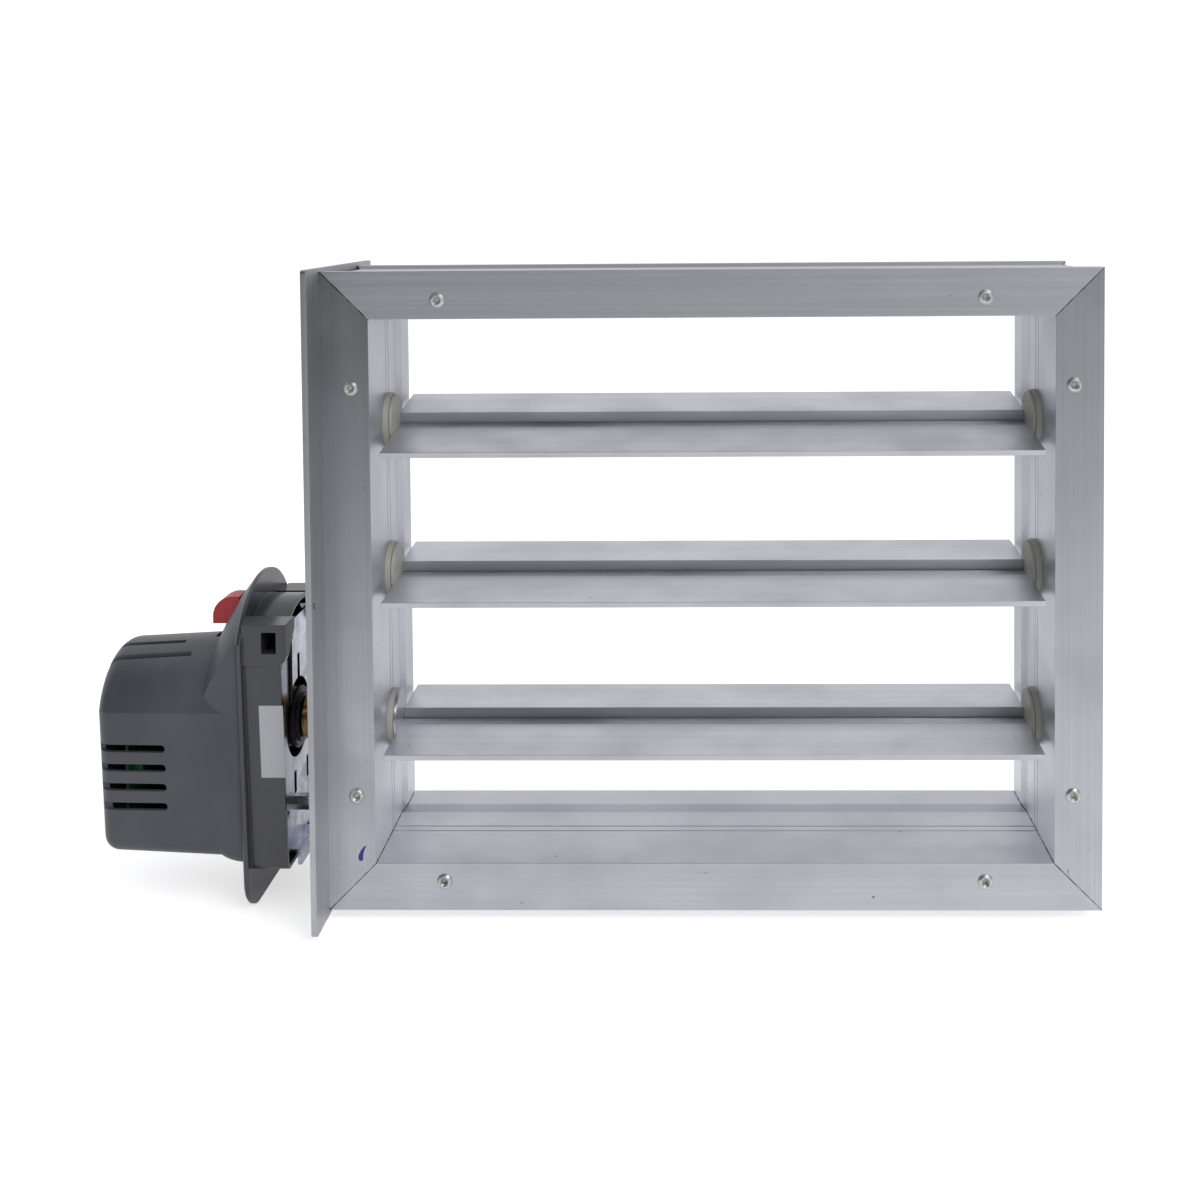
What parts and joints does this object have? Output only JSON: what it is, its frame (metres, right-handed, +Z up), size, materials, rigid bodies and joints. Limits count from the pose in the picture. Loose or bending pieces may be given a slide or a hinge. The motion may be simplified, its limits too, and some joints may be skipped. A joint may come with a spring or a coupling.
{
  "type": "volume control damper",
  "caption": "Rectangular aluminium duct damper with parallel blades, hidden tie bar and an electric actuator on the side.",
  "frame": {"origin": "middle of the base of the bounding box, under the whole part", "axes": "+X runs across the duct away from the actuator, +Y along the air flow from the face with the rivets, +Z up"},
  "size_m": [0.5414, 0.14, 0.3515],
  "materials": {
    "frame_aluminium": "mill finish with fine lengthwise die lines",
    "blade_aluminium": "mill finish, lighter than the frame",
    "plate_aluminium": "mill finish sheet",
    "key_steel": "zinc-plated, hidden",
    "rivet_aluminium": "satin",
    "cream_nylon": "natural nylon",
    "plated_steel": "zinc-plated",
    "bright_zinc": "bright zinc plate",
    "bush_brass": "turned",
    "grey_plastic": "satin moulded",
    "black_plastic": "moulded",
    "red_plastic": "moulded",
    "white_nylon": "moulded gear nylon",
    "turned_steel": "turned",
    "motor_case": "drawn steel can",
    "board_green": "solder mask"
  },
  "bodies": {
    "frame": {"actuator_housing": "grey_plastic", "actuator_rear_case": "grey_plastic", "anti_rotation_stud": "bright_zinc", "base_plate": "bright_zinc", "base_plate_screws": "bright_zinc", "bearing_1_left": "cream_nylon", "bearing_1_right": "cream_nylon", "bearing_2_left": "cream_nylon", "bearing_2_right": "cream_nylon", "bearing_3_left": "cream_nylon", "bearing_3_right": "cream_nylon", "circuit_board": "board_green", "drive_bush": "bush_brass", "front_key_bottom_left": "key_steel", "front_key_bottom_right": "key_steel", "front_key_top_left": "key_steel", "front_key_top_right": "key_steel", "front_rivets": "rivet_aluminium", "gear_plate": "bright_zinc", "header": "frame_aluminium", "housing_screws": "bright_zinc", "idler_arbor": "turned_steel", "left_jamb": "frame_aluminium", "motor": "motor_case", "rear_key_bottom_left": "key_steel", "rear_key_bottom_right": "key_steel", "rear_key_top_left": "key_steel", "rear_key_top_right": "key_steel", "rear_rivets": "rivet_aluminium", "retaining_clip": "black_plastic", "right_jamb": "frame_aluminium", "side_plate": "plate_aluminium", "side_plate_screws": "bright_zinc", "sill": "frame_aluminium", "stud_nut": "bright_zinc"},
    "blade_1": {"blade_1": "blade_aluminium", "pivot_1_left": "cream_nylon", "pivot_1_right": "cream_nylon", "crank_1": "plated_steel", "crank_pin_1": "plated_steel"},
    "blade_2": {"blade_2": "blade_aluminium", "pivot_2_left": "cream_nylon", "pivot_2_right": "cream_nylon", "crank_2": "plated_steel", "crank_pin_2": "plated_steel"},
    "blade_3": {"blade_3": "blade_aluminium", "drive_spindle": "plated_steel", "pivot_3_right": "cream_nylon", "crank_3": "plated_steel", "crank_pin_3": "plated_steel", "hub_clamp": "black_plastic", "output_gear": "white_nylon"},
    "tie_bar": {"tie_bar": "plated_steel"},
    "idler": {"idler_gear": "white_nylon"},
    "rotor": {"motor_pinion": "turned_steel"},
    "lever": {"release_lever": "red_plastic"}
  },
  "joints": [
    {"name": "blade_3_turn", "type": "hinge", "parent": "frame", "child": "blade_3", "pos_m": [0.06425, 0, 0.0958], "axis": [-1, 0, 0], "range_deg": [-5, 90]},
    {"name": "blade_1_turn", "type": "hinge", "parent": "frame", "child": "blade_1", "pos_m": [0.06425, 0, 0.2642], "axis": [-1, 0, 0], "range_deg": [-5, 90]},
    {"name": "blade_2_turn", "type": "hinge", "parent": "frame", "child": "blade_2", "pos_m": [0.06425, 0, 0.18], "axis": [-1, 0, 0], "range_deg": [-5, 90]},
    {"name": "tie_bar_swing", "type": "hinge", "parent": "blade_3", "child": "tie_bar", "pos_m": [-0.13075, 0.02064, 0.11472], "axis": [-1, 0, 0], "range_deg": [-90, 5]},
    {"name": "idler_turn", "type": "hinge", "parent": "frame", "child": "idler", "pos_m": [-0.20075, 0, 0.0658], "axis": [-1, 0, 0], "range_deg": [-270, 15]},
    {"name": "rotor_turn", "type": "hinge", "parent": "frame", "child": "rotor", "pos_m": [-0.21575, 0.01768, 0.04812], "axis": [-1, 0, 0], "range_deg": [-60, 1080]},
    {"name": "lever_swing", "type": "hinge", "parent": "frame", "child": "lever", "pos_m": [-0.20375, 0, 0.0958], "axis": [-1, 0, 0], "range_deg": [0, 14]}
  ],
  "couplings": [
    {"joint": "blade_1_turn", "follows": "blade_3_turn", "ratio": 1},
    {"joint": "blade_2_turn", "follows": "blade_3_turn", "ratio": 1},
    {"joint": "tie_bar_swing", "follows": "blade_3_turn", "ratio": -1},
    {"joint": "idler_turn", "follows": "blade_3_turn", "ratio": -3},
    {"joint": "rotor_turn", "follows": "blade_3_turn", "ratio": 12}
  ]
}
